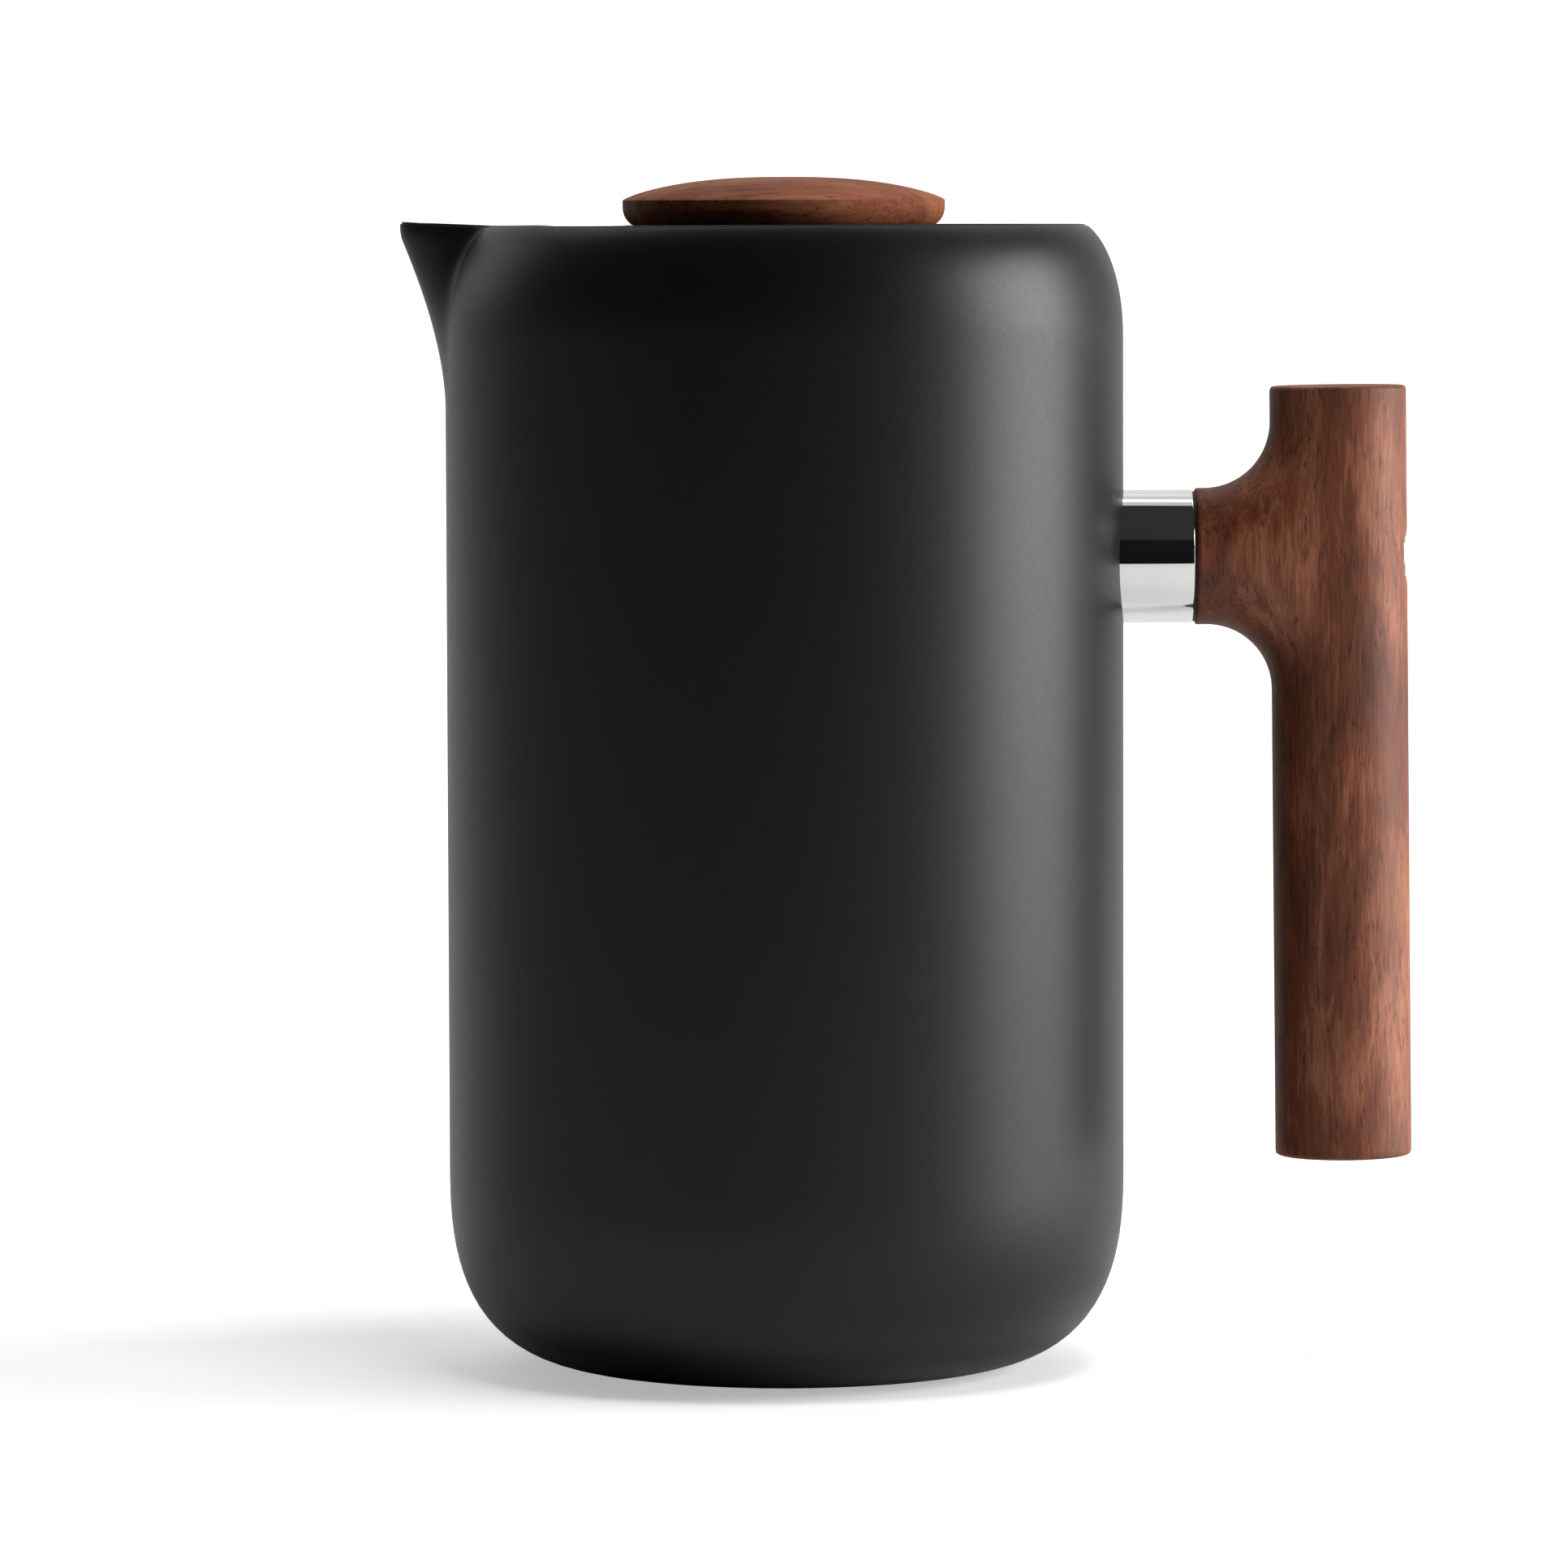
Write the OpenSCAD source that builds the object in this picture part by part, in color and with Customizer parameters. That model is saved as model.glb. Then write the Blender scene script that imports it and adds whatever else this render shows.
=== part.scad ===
// Double-walled steel coffee press with a wooden T handle and a wooden plunger knob.
// Frame: the origin is where the pot's axis meets the table, +Z is up,
// the spout points to -X and the handle to +X. Lengths are millimetres, angles degrees.

/* [Pot] */
// Outside diameter of the pot
pot_d = 102; // [88:1:124]
// Height of the rim above the table
rim_h = 172.3; // [145:0.1:210]
// Height of the rounded bottom corner
corner_rise = 31; // [24:0.5:38]
// How far the bottom corner reaches in from the wall
corner_reach = 27.3; // [20:0.1:33]
// Fullness of the bottom corner, 2 is an ellipse and more is squarer
corner_power = 2.75; // [2:0.05:3.4]
// Height over which the shoulder turns in, as the half axis of its ellipse
shoulder_rise = 17.2; // [14:0.1:21]
// Half axis of the shoulder's ellipse across the pot
shoulder_reach = 8; // [6.6:0.1:10]
// Sheet of the outer shell
shell_wall = 0.7; // [0.5:0.05:1]
// Sheet of the liner
liner_wall = 0.7; // [0.5:0.05:1]
// Vacuum gap between the shell and the liner
vacuum_gap = 5.4; // [4:0.1:6]
// Inside radius of the liner's bottom corner
liner_corner = 14; // [8:0.5:16]
// Height of the liner's floor above the table
liner_floor = 8; // [7:0.1:12]
// Part of the shell's sheet left outside the liner at the rim
rim_lap = 0.35; // [0.2:0.05:0.5]

/* [Spout] */
// How far the lip stands out from the pot's wall
lip_reach = 6.8; // [4.5:0.1:9]
// Height over which the spout runs out to its lip
spout_h = 20.3; // [16:0.1:26]
// Radius of the spout's round front
spout_r = 9.6; // [8:0.1:12]
// Height over which the liner's channel runs out to the lip
channel_h = 22.3; // [18:0.1:28]

/* [Base] */
// Radius of the opening in the shell's bottom
base_open_r = 30; // [25:0.5:33]
// Thickness of the base plate
base_sheet = 0.8; // [0.6:0.1:1.2]
// How far the base plate reaches out past the opening
base_lap = 3; // [2:0.1:4]
// Gap between the base pad's edge and the shell
pad_gap = 0.7; // [0.3:0.1:1.5]
// Radius of the plate's raised vacuum port
port_r = 6; // [4.5:0.1:7]
// Height of the raised vacuum port
port_h = 2.4; // [2:0.1:3]
// Radius of the getter capsule
getter_r = 4; // [3:0.1:5]
// Height of the getter capsule
getter_h = 1.5; // [1:0.1:2]

/* [Handle] */
// Diameter of the grip
grip_d = 20.6; // [18:0.1:24]
// Length of the grip
grip_l = 116.4; // [96:0.1:140]
// How far the grip's top stands above the collar's axis
grip_above = 25.5; // [23.5:0.1:30]
// Distance from the pot's wall to the grip's axis
grip_out = 32.6; // [30:0.1:40]
// Radius of the blends between the boss and the grip
grip_blend = 9.9; // [8:0.1:11]
// Rounding of the grip's ends
grip_edge = 0.5; // [0.3:0.1:1.5]
// Lean of the grip, its foot away from the pot
grip_lean = 0.5; // [0:0.1:1.5]
// Height of the collar's axis above the table
collar_h = 122.2; // [105:0.1:140]
// Diameter of the collar
collar_d = 20.1; // [18:0.1:24]
// How far the collar's end stands out from the pot's wall
collar_out = 10.4; // [8:0.1:12]
// Wall of the collar
collar_wall = 2; // [1.2:0.1:2.4]
// Thickness of the collar's end
collar_end = 2.3; // [1.5:0.1:3]
// Thickness of the gasket between collar and grip
gasket_t = 0.35; // [0.2:0.05:0.6]
// How far the gasket's edge sits in from the collar's face
gasket_inset = 0.25; // [0.1:0.05:0.5]
// Thread diameter of the handle screw
screw_d = 4; // [3:0.5:5]
// Length of the handle screw under its head
screw_l = 35; // [31:1:36]
// Diameter of the handle screw's head
screw_head_d = 7; // [6:0.5:8.5]
// Width across the flats of the screw's socket
screw_socket = 3; // [2.5:0.5:4]
// Thickness of the washer under the screw's head
washer_t = 0.5; // [0.3:0.1:1]
// Radius of the sphere that dishes the back of the grip
dish_r = 9.3; // [8:0.1:12]
// Depth of the dish in the back of the grip
dish_depth = 0.95; // [0.7:0.05:1.3]
// Diameter of the two dowels that stop the grip turning
dowel_d = 2.5; // [2:0.1:3]
// Length of each dowel
dowel_l = 11; // [8:0.5:14]
// Distance of each dowel's axis from the collar's axis
dowel_off = 5.2; // [4.6:0.1:6]

/* [Lid] */
// How far the lid's top lies below the rim
lid_sink = 0.8; // [0.4:0.1:2]
// Height of the lid from its top to its strainer
lid_h = 29; // [24:0.5:36]
// Gap between the lid's cover and the liner
lid_gap = 0.5; // [0.3:0.1:1]
// Sheet of the lid's cover
cover_sheet = 0.8; // [0.6:0.1:1.2]
// Depth of the cover's turned-down edge
cover_skirt = 5; // [3:0.5:6.5]
// Wall of the lid frame's cage
cage_wall = 2; // [1.5:0.1:3]
// Channel between the cage and the liner
pour_gap = 2; // [1.5:0.1:3]
// Number of pouring slots round the cage
slot_count = 20; // [12:1:28]
// Width of each pouring slot
slot_w = 8; // [4:0.5:8.5]
// Height of the ring that carries the lid's gasket
seat_h = 7; // [6:0.5:9]
// Height of the lid's gasket
lid_gasket_h = 4.4; // [3.5:0.1:5]
// Depth of the groove that the gasket lies in
groove_depth = 2; // [1.5:0.1:2.5]
// Gap between a silicone lip and the liner
lip_gap = 0.25; // [0.1:0.01:0.3]
// Radius of the lid frame's hub
hub_r = 8.6; // [8.2:0.1:11]
// Sheet of the strainer
strainer_sheet = 0.6; // [0.4:0.1:1]
// Diameter of the strainer's holes
strainer_hole = 3; // [2:0.1:3.4]
// Distance of the strainer's screws from the axis
strainer_screw_at = 20; // [18:0.5:22]

/* [Guide] */
// Diameter of the plunger's rod
rod_d = 6; // [5:0.1:8]
// Wall of the rod's guide
guide_wall = 2; // [1.8:0.1:2.6]
// Running clearance between the rod and its guide
run_gap = 0.06; // [0.02:0.01:0.1]
// Radius of the guide's flange
guide_flange_r = 8; // [7.4:0.1:9]
// Thickness of the guide's flange
guide_flange_t = 1.2; // [0.8:0.1:1.6]
// How far the guide's flange stands above the cover
guide_proud = 0.2; // [0:0.05:0.5]
// Width across the flats of the guide's nut
guide_nut_af = 14; // [12.5:0.5:16]
// Height of the guide's nut
guide_nut_h = 3; // [2:0.1:3.5]

/* [Plunger] */
// Gap between the knob and the guide when the plunger is down
knob_gap = 0.3; // [0.2:0.05:1]
// Diameter of the knob
knob_d = 48.5; // [40:0.5:60]
// Thickness of the knob at its middle
knob_t = 7.5; // [6.8:0.1:12]
// Height of the knob's dome
knob_dome = 3.5; // [2.5:0.1:4.5]
// Rounding of the knob's lower edge
knob_round = 3; // [1:0.1:3.8]
// Radius of the knob's threaded insert
insert_r = 4.2; // [3.8:0.1:5]
// Height of the insert's body above its flange
insert_h = 4.2; // [3.5:0.1:4.8]
// Thickness of the insert's flange
insert_flange_t = 1; // [0.8:0.1:1.5]
// Height of the cross plate above the liner's floor
bed_h = 19.6; // [17:0.1:26]
// Sheet of the top plate
top_sheet = 0.8; // [0.6:0.1:1.2]
// Thickness of the woven filter
mesh_t = 0.4; // [0.3:0.05:0.6]
// Sheet of the cross plate
cross_sheet = 1.2; // [1:0.1:1.6]
// Height of the wiper ring
wiper_h = 5; // [4:0.1:6]
// Width across the flats of the filter's nut
nut_af = 12; // [11:0.5:14]
// Height of the filter's nut
nut_h = 5; // [4:0.1:6]
// Radius of the collar pressed on the rod
rod_collar_r = 6; // [5:0.1:8]
// Height of the collar pressed on the rod
rod_collar_h = 5; // [4:0.1:7]

/* [Hidden] */
$fn = 96;
over = 1; // how far a cutter runs past what it cuts
join = 0.01; // how far two parts of one solid run into each other
arc_steps = 12;
edge_steps = 6; // steps of a small rounding
corner_steps = 26;

strainer_screws = 3;
dowels = 2;

pot_r = pot_d / 2;
liner_out_r = pot_r - shell_wall - vacuum_gap;
liner_r = liner_out_r - liner_wall;
rim_r = liner_out_r + rim_lap;

// ---------- pot ----------

// points of an arc about c, from angle a0 to a1
function arc(c, r, a0, a1, steps = arc_steps) =
    [for (i = [0:steps]) let (a = a0 + (a1 - a0) * i / steps) [c[0] + r * cos(a), c[1] + r * sin(a)]];

// The bottom corner is a superellipse, drawn in by d for the inside of the sheet.
corner_c = pot_r - corner_reach;
function corner_point(a, d) =
    let (p = pow(pow(cos(a), corner_power) + pow(sin(a), corner_power), -1 / corner_power))
    [corner_c + (corner_reach - d) * p * sin(a), corner_rise - (corner_rise - d) * p * cos(a)];

// angle at which the corner reaches radius r, or 0 where the bottom is still flat
function corner_angle(r, d) =
    let (u = max(0, (r - corner_c) / (corner_reach - d)))
    atan2(u, pow(1 - pow(u, corner_power), 1 / corner_power));

// the bottom from its opening to the wall, flat first where the opening ends inside the corner
function corner_curve(d) =
    let (a0 = corner_angle(base_open_r, d))
    concat(base_open_r < corner_c ? [[base_open_r, d]] : [],
        [for (i = [0:corner_steps]) corner_point(a0 + (90 - a0) * i / corner_steps, d)]);

// The shoulder is the part of an ellipse that ends at the rim's radius, drawn in by d.
shoulder_end = acos(1 - (pot_r - rim_r) / shoulder_reach);
shoulder_z = rim_h - shoulder_rise * sin(shoulder_end);
function shoulder_curve(d) =
    [for (i = [0:arc_steps]) let (a = shoulder_end * i / arc_steps)
        [pot_r - shoulder_reach + (shoulder_reach - d) * cos(a), shoulder_z + (shoulder_rise - d) * sin(a)]];

// a turned solid whose side is the given line, from its bottom to its top
module turned(side) {
    rotate_extrude() polygon(concat([[0, side[0][1]]], side, [[0, side[len(side) - 1][1]]]));
}

// A spout is the front of a tilted cylinder whose outermost line passes through the lip.
lip_r = pot_r + lip_reach;
spout_tilt = atan(lip_reach / spout_h);
channel_lip = lip_r - rim_lap; // the channel's lip, inside the shell's
channel_tilt = atan((channel_lip - liner_out_r) / channel_h);
channel_inset = 1.2 * rim_lap; // how much slimmer the liner's spout is than the shell's
channel_out_r = spout_r - channel_inset;

spout_reach_down = 1.35; // length of a spout's cylinder in spout heights, enough to end inside the pot

module spout(lip, tilt, r, sheet, h) {
    depth = spout_reach_down * h;
    translate([-lip, 0, rim_h]) rotate([0, -tilt, 0]) translate([r, 0, -depth])
        cylinder(r = r - sheet, h = depth + over);
}

module above_rim() {
    translate([-2 * pot_r, -2 * pot_r, rim_h]) cube([4 * pot_r, 4 * pot_r, 2 * pot_r]);
}

module liner_outside() {
    bottom_c = [liner_r - liner_corner, liner_floor + liner_corner];
    turned(concat(arc(bottom_c, liner_corner + liner_wall, -90, 0), [[liner_out_r, rim_h + over]]));
    spout(channel_lip, channel_tilt, channel_out_r, 0, channel_h);
}

module liner_inside() {
    bottom_c = [liner_r - liner_corner, liner_floor + liner_corner];
    turned(concat(arc(bottom_c, liner_corner, -90, 0), [[liner_r, rim_h + over]]));
    spout(channel_lip, channel_tilt, channel_out_r, liner_wall, channel_h);
}

module outer_shell() {
    inside = concat([[base_open_r, -over]], corner_curve(shell_wall), shoulder_curve(shell_wall));
    color("#1d1d1e") difference() {
        union() {
            turned(concat(corner_curve(0), shoulder_curve(0)));
            spout(lip_r, spout_tilt, spout_r, 0, spout_h);
        }
        turned(inside);
        spout(lip_r, spout_tilt, spout_r, shell_wall, spout_h);
        liner_outside();
        above_rim();
    }
}

module inner_liner() {
    color("#3a3a3c") difference() {
        liner_outside();
        liner_inside();
        above_rim();
    }
}

// the base plate lies on the inside of the shell's bottom lip
plate_r = base_open_r + base_lap;
plate_rest = 0.02; // height of the plate's edge above the curved sheet it rests on
plate_z = corner_point(corner_angle(plate_r, shell_wall), shell_wall)[1] + plate_rest;
port_hole_r = 0.8; // the hole the pot is emptied of air through
bead_r = 2.6;
bead_h = 1.1;
bead_taper = 0.4; // how much narrower the bead is at its lower face
getter_foot = 0.6; // height of the getter's wide foot, as a share of its height
getter_crown = 0.7; // radius of the getter's crown, as a share of its radius
pad_groove = 0.4; // depth and half width of the pad's grooves, and the chamfer of its edge
pad_rings = [0.45, 0.7, 0.85]; // the grooves, as shares of the pad's radius

module base_plate() {
    color("silver") rotate_extrude() polygon([
        [port_hole_r, plate_z + port_h], [port_r - base_sheet, plate_z + port_h],
        [port_r - base_sheet, plate_z], [plate_r, plate_z],
        [plate_r, plate_z + base_sheet], [port_r, plate_z + base_sheet],
        [port_r, plate_z + port_h + base_sheet], [port_hole_r, plate_z + port_h + base_sheet]]);
}

module seal_bead() {
    color("#4c5a52") translate([0, 0, plate_z + port_h - bead_h]) union() {
        cylinder(r1 = bead_r - bead_taper, r2 = bead_r, h = bead_h);
        translate([0, 0, bead_h - join]) cylinder(r = port_hole_r, h = base_sheet);
    }
}

module getter() {
    off = (port_r + plate_r) / 2;
    color("#8d9096") translate([off, 0, plate_z + base_sheet]) union() {
        cylinder(r = getter_r, h = getter_h * getter_foot);
        cylinder(r = getter_r * getter_crown, h = getter_h);
    }
}

module base_pad() {
    r = base_open_r - pad_gap;
    color("#151515") difference() {
        rotate_extrude() polygon([[0, 0], [r - pad_groove, 0], [r, pad_groove], [r, plate_z], [0, plate_z]]);
        for (ring = pad_rings)
            translate([0, 0, -over]) difference() {
                cylinder(r = r * ring + pad_groove, h = over + pad_groove);
                translate([0, 0, -over]) cylinder(r = r * ring - pad_groove, h = 4 * over);
            }
    }
}

// ---------- handle ----------

collar_r = collar_d / 2;
grip_r = grip_d / 2;
boss_gap = 0.3; // between the threaded boss and the collar's bore
boss_r = collar_r - collar_wall - boss_gap;
collar_x = pot_r + collar_out; // the collar's outer end
boss_x = collar_x - collar_end; // the threaded boss's end
grip_face = collar_x + gasket_t; // where the wood starts
grip_x = pot_r + grip_out; // the grip's axis
grip_back = grip_x + grip_r;
hole_gap = 0.2; // round a screw's shank or a dowel
head_h = screw_d; // a socket screw's head is as high as its thread is wide
head_sunk = 0.42; // the head's face below the crest of the grip's back
head_x = grip_back - head_sunk; // outer face of the screw's head
seat_x = head_x - head_h - washer_t; // floor of the counterbore
tip_x = head_x - head_h - screw_l; // the screw's tip
thread_spare = 0.8; // empty thread past the screw's tip
thread_end = tip_x - thread_spare; // bottom of the threaded hole
inside_x = pot_r / 2; // a place well inside the pot, where boss and collar start before they are cut
dowel_in_boss = 0.4; // share of each dowel that stands in the boss
dowel_x = boss_x - dowel_in_boss * dowel_l; // inner end of each dowel

// a cylinder along +X from x0 to x1 on the collar's axis
module rod_x(r, x0, x1) {
    translate([x0, 0, collar_h]) rotate([0, 90, 0]) cylinder(r = r, h = x1 - x0);
}

// places a child on dowel number i
module at_dowel(i) {
    translate([0, i == 1 ? -dowel_off : dowel_off, 0]) children();
}

module at_dowels() {
    for (i = [1:dowels]) at_dowel(i) children();
}

module pot_cylinder() {
    cylinder(r = pot_r, h = rim_h);
}

module handle_boss() {
    color("#b9babd") difference() {
        rod_x(boss_r, inside_x, boss_x);
        pot_cylinder();
        rod_x(screw_d / 2, thread_end, boss_x + over);
        at_dowels() rod_x(dowel_d / 2, dowel_x, boss_x + over);
    }
}

module handle_collar() {
    color("#d5d6d8") difference() {
        rod_x(collar_r, inside_x, collar_x);
        pot_cylinder();
        rod_x(collar_r - collar_wall, inside_x - over, boss_x);
        rod_x(screw_d / 2 + hole_gap, boss_x - over, collar_x + over);
        at_dowels() rod_x(dowel_d / 2, boss_x - over, collar_x + over);
    }
}

module collar_gasket() {
    color("#141210") difference() {
        rod_x(collar_r - gasket_inset, collar_x, grip_face);
        rod_x(screw_d / 2 + hole_gap, collar_x - over, grip_face + over);
        at_dowels() rod_x(dowel_d / 2, collar_x - over, grip_face + over);
    }
}

// The grip is a T cut from a board as thick as the grip is wide, and rounded over all round.
// Its junction is a flat web between two quarter rings, so every face meets the next smoothly.
module grip_junction() {
    turn = grip_r + grip_blend;
    // the half of the grip that faces away from the pot
    translate([0, 0, -turn]) linear_extrude(2 * turn) difference() {
        circle(grip_r);
        translate([-2 * grip_r, -grip_r]) square(2 * grip_r);
    }
    // the flat web between the boss and the grip
    rotate([90, 0, 0]) translate([0, 0, -grip_r]) linear_extrude(2 * grip_r) difference() {
        translate([-turn, -turn]) square([turn, 2 * turn]);
        translate([-turn, turn]) circle(turn);
        translate([-turn, -turn]) circle(turn);
    }
    // the rounded inner edges of the two blends
    for (side = [0, 1]) mirror([0, 0, side])
        translate([-turn, 0, turn]) rotate([90, 0, 0]) rotate([0, 0, -90])
            rotate_extrude(angle = 90) intersection() {
                translate([turn, 0]) circle(grip_r);
                translate([0, -grip_r]) square([turn, 2 * grip_r]);
            }
}

// a straight end of the grip, with its edge rounded
module grip_end(length) {
    rotate_extrude() polygon(concat([[0, 0], [grip_r, 0]],
        arc([grip_r - grip_edge, length - grip_edge], grip_edge, 0, 90, edge_steps), [[0, length]]));
}

module grip_blank() {
    turn = grip_r + grip_blend;
    translate([grip_face, 0, collar_h]) rotate([0, -grip_lean, 0]) translate([grip_x - grip_face, 0, 0]) {
        grip_junction();
        translate([0, 0, turn]) grip_end(grip_above - turn);
        translate([0, 0, -turn]) mirror([0, 0, 1]) grip_end(grip_l - grip_above - turn);
        translate([grip_face - grip_x - over, 0, 0]) rotate([0, 90, 0])
            cylinder(r = grip_r, h = grip_x - turn - grip_face + over);
    }
}

module handle_grip() {
    color("#7a4530") difference() {
        grip_blank();
        // the boss is sawn off flat where the gasket lies
        translate([0, -grip_l, 0]) cube([grip_face, 2 * grip_l, 2 * rim_h]);
        rod_x(screw_d / 2 + hole_gap, grip_face - over, grip_back);
        rod_x(screw_head_d / 2 + hole_gap, seat_x, grip_back + over);
        translate([grip_back - dish_depth + dish_r, 0, collar_h]) sphere(dish_r);
        at_dowels() rod_x(dowel_d / 2, grip_face - over, dowel_x + dowel_l);
    }
}

module handle_screw() {
    chamfer = 0.3;
    r = screw_head_d / 2;
    corner_d = screw_socket / cos(30); // across the corners of the hexagonal socket
    color("#8a8c90") difference() {
        union() {
            rod_x(screw_d / 2, tip_x, head_x - head_h + join);
            rod_x(r, head_x - head_h, head_x - chamfer);
            translate([head_x - chamfer, 0, collar_h]) rotate([0, 90, 0])
                cylinder(r1 = r, r2 = r - chamfer, h = chamfer);
        }
        translate([head_x - head_h / 2, 0, collar_h]) rotate([0, 90, 0])
            cylinder(d = corner_d, h = head_h, $fn = 6);
    }
}

module screw_washer() {
    color("#9fa1a5") difference() {
        rod_x(screw_head_d / 2, seat_x, seat_x + washer_t);
        rod_x(screw_d / 2 + hole_gap, seat_x - over, seat_x + washer_t + over);
    }
}

module grip_dowel(i) {
    color("#b0b1b4") at_dowel(i) rod_x(dowel_d / 2, dowel_x, dowel_x + dowel_l);
}

// ---------- lid ----------

rod_r = rod_d / 2;
lid_z = rim_h - lid_sink; // top of the cover
cover_under = lid_z - cover_sheet;
lid_low = lid_z - lid_h; // lower face of the ring that carries the gasket
cover_r = liner_r - lid_gap;
skirt_in_r = cover_r - cover_sheet;
skirt_z = lid_z - cover_skirt;
cage_r = liner_r - pour_gap;
cage_in_r = cage_r - cage_wall;
guide_r = rod_r + run_gap + guide_wall;
guide_top = lid_z + guide_proud;
guide_edge = 0.3; // chamfer of the guide's flange
guide_thread_proud = 0.6; // how far the guide's thread stands out of its nut
flange_z = guide_top - guide_flange_t; // the face that the guide's flange bears on
well_gap = 0.3; // round the flange
well_r = guide_flange_r + well_gap; // the well in the cover that takes the flange
well_low = flange_z - cover_sheet;
top_t = 2.2; // top plate of the lid's frame
top_low = cover_under - top_t;
top_join = top_t / 4; // how far hub, ribs and bosses run up into the top plate
hub_low = lid_low + seat_h; // lower end of the hub
gasket_low = lid_low + (seat_h - lid_gasket_h) / 2;
gasket_high = gasket_low + lid_gasket_h;
groove_r = cover_r - groove_depth;
strainer_inset = 1; // height of the strainer's top face above the ring's lower face
strainer_gap = 0.3; // round the strainer
strainer_top = lid_low + strainer_inset;
strainer_low = strainer_top - strainer_sheet;
strainer_r = cage_in_r - strainer_gap;
strainer_screw_r = 1.3;
strainer_hole_h = 8; // depth of the strainer screws' holes
screw_boss_r = 3;

module lid_cover() {
    round_r = cover_sheet * 0.75;
    color("#1f1f20") rotate_extrude() polygon(concat(
        [[guide_r, well_low], [well_r + cover_sheet, well_low], [well_r + cover_sheet, cover_under],
            [skirt_in_r, cover_under], [skirt_in_r, skirt_z], [cover_r, skirt_z]],
        arc([cover_r - round_r, lid_z - round_r], round_r, 0, 90, edge_steps),
        [[well_r, lid_z], [well_r, flange_z], [guide_r, flange_z]]));
}

module at_strainer_screw(i) {
    rotate([0, 0, 360 * i / strainer_screws]) translate([strainer_screw_at, 0, 0]) children();
}

module lid_frame() {
    ribs = 6;
    rib_t = 1.6;
    rib_h = 3;
    rib_start = hub_r - 1;
    rib_end = cage_in_r + cage_wall / 2;
    slot_low = hub_low + 1.5;
    slot_high = skirt_z - 1;
    color("#232324") difference() {
        union() {
            // the top plate, the cage and the ring with the gasket's groove
            rotate_extrude() polygon([
                [guide_r, top_low], [cage_in_r, top_low], [cage_in_r, lid_low], [cover_r, lid_low],
                [cover_r, gasket_low], [groove_r, gasket_low], [groove_r, gasket_high],
                [cover_r, gasket_high], [cover_r, hub_low], [cage_r, hub_low], [cage_r, cover_under],
                [well_r + cover_sheet, cover_under], [well_r + cover_sheet, well_low],
                [guide_r, well_low]]);
            translate([0, 0, hub_low]) cylinder(r = hub_r, h = top_low + top_join - hub_low);
            for (i = [0:ribs - 1]) rotate([0, 0, 360 * i / ribs])
                translate([rib_start, -rib_t / 2, top_low - rib_h])
                    cube([rib_end - rib_start, rib_t, rib_h + top_join]);
            for (i = [1:strainer_screws]) at_strainer_screw(i) translate([0, 0, strainer_top])
                cylinder(r = screw_boss_r, h = top_low + top_join - strainer_top);
        }
        translate([0, 0, lid_low]) cylinder(r = guide_r, h = lid_h);
        for (i = [1:strainer_screws]) at_strainer_screw(i)
            translate([0, 0, strainer_top - over]) cylinder(r = strainer_screw_r, h = strainer_hole_h + over);
        for (i = [0:slot_count - 1]) rotate([0, 0, 360 * i / slot_count])
            translate([cage_in_r - over, -slot_w / 2, slot_low])
                cube([cage_wall + 2 * over, slot_w, slot_high - slot_low]);
    }
}

// a silicone ring with two rounded lips, from radius r0 to r1
module lip_ring(r0, r1, z, h) {
    lip = h / 4; // radius of each lip
    rotate_extrude() polygon(concat([[r0, z]],
        arc([r1 - lip, z + lip], lip, -90, 90),
        arc([r1 - lip, z + h - lip], lip, -90, 90), [[r0, z + h]]));
}

module lid_gasket() {
    color("#3b3b3d") lip_ring(groove_r, liner_r - lip_gap, gasket_low, lid_gasket_h);
}

hole_faces = 16; // of each small hole in a plate

// round holes in rings of a plate that lies between radii r0 and r1
module plate_holes(r0, r1, d, pitch) {
    rings = floor((r1 - r0 - d) / pitch);
    for (k = [0:rings]) {
        r = r0 + d / 2 + k * pitch;
        count = floor(360 / (2 * asin(pitch / 2 / r)));
        for (i = [0:count - 1]) rotate(360 * (i + k / 2) / count) translate([r, 0])
            circle(d = d, $fn = hole_faces);
    }
}

module lid_strainer() {
    pitch = strainer_hole * 2;
    rod_gap = 0.6; // round the rod
    hub = 3; // width of the plain ring round the rod
    rim = 2; // width of the plain ring at the edge
    color("#aeb0b4") translate([0, 0, strainer_low]) linear_extrude(strainer_sheet) difference() {
        circle(strainer_r);
        circle(rod_r + rod_gap);
        plate_holes(rod_r + hub, strainer_screw_at - screw_boss_r, strainer_hole, pitch);
        plate_holes(strainer_screw_at + screw_boss_r, strainer_r - rim, strainer_hole, pitch);
        for (i = [1:strainer_screws]) at_strainer_screw(i) circle(strainer_screw_r);
    }
}

module strainer_screw(i) {
    head_t = 0.9;
    head_r = strainer_screw_r + 1.2;
    head_taper = 0.5; // how much narrower the head is at its outer face
    shank = strainer_hole_h - 1; // so the tip ends in the hole
    color("#c8c9cc") at_strainer_screw(i) union() {
        translate([0, 0, strainer_low]) cylinder(r = strainer_screw_r, h = shank);
        translate([0, 0, strainer_low - head_t]) cylinder(r1 = head_r - head_taper, r2 = head_r, h = head_t);
    }
}

// a nut with its lower face at z, threaded onto a shaft of radius r
module nut(af, r, z, h) {
    translate([0, 0, z]) difference() {
        cylinder(d = af / cos(30), h = h, $fn = 6);
        translate([0, 0, -over]) cylinder(r = r, h = h + 2 * over);
    }
}

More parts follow.
